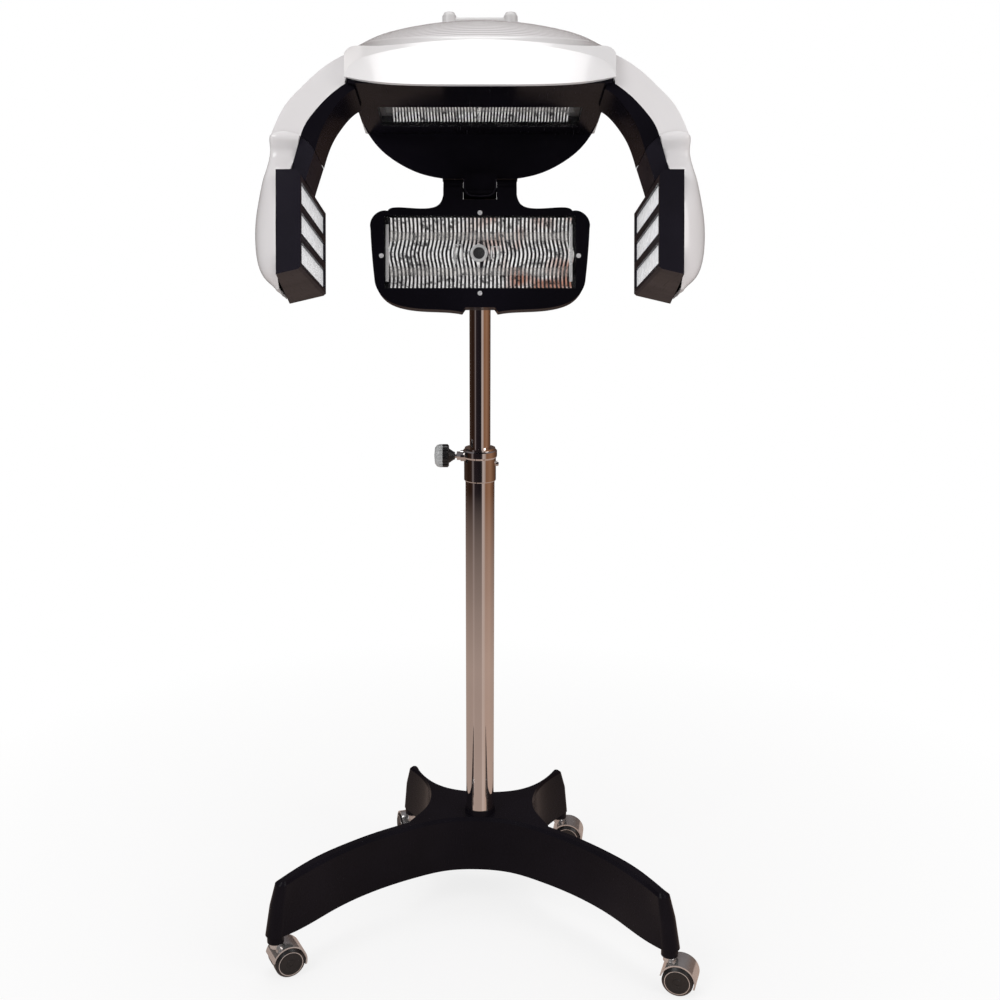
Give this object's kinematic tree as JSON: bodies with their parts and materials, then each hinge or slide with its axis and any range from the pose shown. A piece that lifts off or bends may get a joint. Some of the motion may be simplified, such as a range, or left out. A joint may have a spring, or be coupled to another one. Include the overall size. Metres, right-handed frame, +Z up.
{
  "type": "hair color processor",
  "caption": "Salon hair processor on a rolling stand: telescopic post with a clamp knob, tilting lamp hood with arms, hinged side lamp pods and a nape lamp panel.",
  "frame": {"origin": "on the floor under the axis of the post", "axes": "+Z up, -Y towards the client in front of the machine, +X to the right seen from the front"},
  "size_m": [0.6978, 0.642, 1.5014],
  "materials": {
    "white_cover": "gloss",
    "black_shell": "satin gloss",
    "black_base": "satin gloss",
    "chrome_tube": "polished",
    "chrome_trim": "polished",
    "steel_frame": "satin",
    "bright_steel": "brushed",
    "black_bush": "matt",
    "grey_knob": "satin",
    "grey_handle": "satin",
    "lens_glass": "fluted",
    "reflector_sheet": "polished",
    "lamp_quartz": "clear",
    "board_green": "matt",
    "console_black": "gloss",
    "key_grey": "satin",
    "wheel_black": "matt",
    "caster_chrome": "polished"
  },
  "bodies": {
    "base": {"base_shell": "black_base", "base_frame": "steel_frame", "lower_tube": "chrome_tube", "tube_collar": "chrome_trim", "collar_bush": "black_bush", "collar_hardware": "bright_steel"},
    "clamp_screw": {"clamp_screw": "bright_steel"},
    "clamp_knob": {"clamp_knob": "grey_knob"},
    "mast_guide": {"mast_glide": "black_bush"},
    "mast": {"upper_tube": "chrome_tube", "mast_plug": "bright_steel", "tilt_block": "bright_steel"},
    "head": {"tilt_bracket": "bright_steel", "tilt_hardware": "bright_steel", "head_frame": "steel_frame", "hood_cover": "white_cover", "hood_shell": "black_shell", "hood_reflector": "reflector_sheet", "hood_lamps": "lamp_quartz", "hood_lens": "lens_glass", "rear_handle": "grey_handle", "control_board": "board_green", "mains_inlet": "console_black", "console_panel": "console_black", "nape_pin": "bright_steel", "arm_cover_left": "white_cover", "arm_liner_left": "black_shell", "arm_strap_left": "bright_steel", "arm_cover_right": "white_cover", "arm_liner_right": "black_shell", "arm_strap_right": "bright_steel"},
    "nape_lamp": {"nape_frame": "black_shell", "nape_back": "black_shell", "nape_reflector": "reflector_sheet", "nape_lamps": "lamp_quartz", "nape_lens": "lens_glass"},
    "timer_key": {"console_button_1": "key_grey"},
    "start_key": {"console_button_2": "key_grey"},
    "power_rocker": {"switch_rocker": "console_black"},
    "pod_left": {"pod_cap_left": "white_cover", "pod_case_left": "black_shell", "pod_pin_left": "bright_steel", "pod_lenses_left": "lens_glass", "pod_reflector_left": "reflector_sheet", "pod_lamps_left": "lamp_quartz"},
    "pod_right": {"pod_cap_right": "white_cover", "pod_case_right": "black_shell", "pod_pin_right": "bright_steel", "pod_lenses_right": "lens_glass", "pod_reflector_right": "reflector_sheet", "pod_lamps_right": "lamp_quartz"},
    "fork_front_left": {"caster_fender_front_left": "caster_chrome"},
    "wheel_front_left": {"caster_wheels_front_left": "wheel_black"},
    "fork_front_right": {"caster_fender_front_right": "caster_chrome"},
    "wheel_front_right": {"caster_wheels_front_right": "wheel_black"},
    "fork_rear_left": {"caster_fender_rear_left": "caster_chrome"},
    "wheel_rear_left": {"caster_wheels_rear_left": "wheel_black"},
    "fork_rear_right": {"caster_fender_rear_right": "caster_chrome"},
    "wheel_rear_right": {"caster_wheels_rear_right": "wheel_black"}
  },
  "joints": [
    {"name": "mast_height", "type": "slide", "parent": "base", "child": "mast_guide", "axis": [0, 0, 1], "range_m": [-0.19, 0.19]},
    {"name": "mast_swivel", "type": "hinge", "parent": "mast_guide", "child": "mast", "pos_m": [0, 0, 0.505], "axis": [0, 0, 1], "range_deg": [-180, 180]},
    {"name": "clamp_feed", "type": "slide", "parent": "base", "child": "clamp_screw", "axis": [-1, 0, 0], "range_m": [0, 0.00251]},
    {"name": "clamp_turn", "type": "hinge", "parent": "clamp_screw", "child": "clamp_knob", "pos_m": [-0.06, 0, 0.807], "axis": [-1, 0, 0], "range_deg": [0, 720]},
    {"name": "head_tilt", "type": "hinge", "parent": "mast", "child": "head", "pos_m": [0, 0, 1.33], "axis": [1, 0, 0], "range_deg": [-10, 13.5]},
    {"name": "nape_tilt", "type": "hinge", "parent": "head", "child": "nape_lamp", "pos_m": [0, -0.06772, 1.23211], "axis": [-1, 0, 0], "range_deg": [0, 25]},
    {"name": "pod_tilt_left", "type": "hinge", "parent": "head", "child": "pod_left", "pos_m": [-0.257, -0.26465, 1.25573], "axis": [0, 0.9724, -0.2334], "range_deg": [-15, 20]},
    {"name": "pod_tilt_right", "type": "hinge", "parent": "head", "child": "pod_right", "pos_m": [0.257, -0.26465, 1.25573], "axis": [0, -0.9724, 0.2334], "range_deg": [-15, 20]},
    {"name": "timer_key_press", "type": "slide", "parent": "head", "child": "timer_key", "axis": [0, -0.9724, 0.2334], "range_m": [0, 0.0015], "stiffness_N_per_m": 300},
    {"name": "start_key_press", "type": "slide", "parent": "head", "child": "start_key", "axis": [0, -0.9724, 0.2334], "range_m": [0, 0.0015], "stiffness_N_per_m": 300},
    {"name": "power_rock", "type": "hinge", "parent": "head", "child": "power_rocker", "pos_m": [-0.077, 0.06429, 1.27651], "axis": [1, 0, 0], "range_deg": [0, 14]},
    {"name": "caster_swivel_front_left", "type": "hinge", "parent": "base", "child": "fork_front_left", "pos_m": [-0.32898, -0.23345, 0.08], "axis": [0, 0, 1], "continuous": true},
    {"name": "wheel_spin_front_left", "type": "hinge", "parent": "fork_front_left", "child": "wheel_front_left", "pos_m": [-0.3138, -0.22581, 0.025], "axis": [-0.4493, 0.8934, 0], "continuous": true},
    {"name": "caster_swivel_front_right", "type": "hinge", "parent": "base", "child": "fork_front_right", "pos_m": [0.29997, -0.26971, 0.08], "axis": [0, 0, 1], "continuous": true},
    {"name": "wheel_spin_front_right", "type": "hinge", "parent": "fork_front_right", "child": "wheel_front_right", "pos_m": [0.31611, -0.27505, 0.025], "axis": [0.314, 0.9494, 0], "continuous": true},
    {"name": "caster_swivel_rear_left", "type": "hinge", "parent": "base", "child": "fork_rear_left", "pos_m": [-0.12994, 0.19581, 0.08], "axis": [0, 0, 1], "continuous": true},
    {"name": "wheel_spin_rear_left", "type": "hinge", "parent": "fork_rear_left", "child": "wheel_rear_left", "pos_m": [-0.13483, 0.21209, 0.025], "axis": [-0.9578, -0.2874, 0], "continuous": true},
    {"name": "caster_swivel_rear_right", "type": "hinge", "parent": "base", "child": "fork_rear_right", "pos_m": [0.15159, 0.17957, 0.08], "axis": [0, 0, 1], "continuous": true},
    {"name": "wheel_spin_rear_right", "type": "hinge", "parent": "fork_rear_right", "child": "wheel_rear_right", "pos_m": [0.16841, 0.17712, 0.025], "axis": [0.1444, 0.9895, 0], "continuous": true}
  ],
  "couplings": [
    {"joint": "clamp_feed", "follows": "clamp_turn", "m_per_rad": 0.00019894}
  ]
}
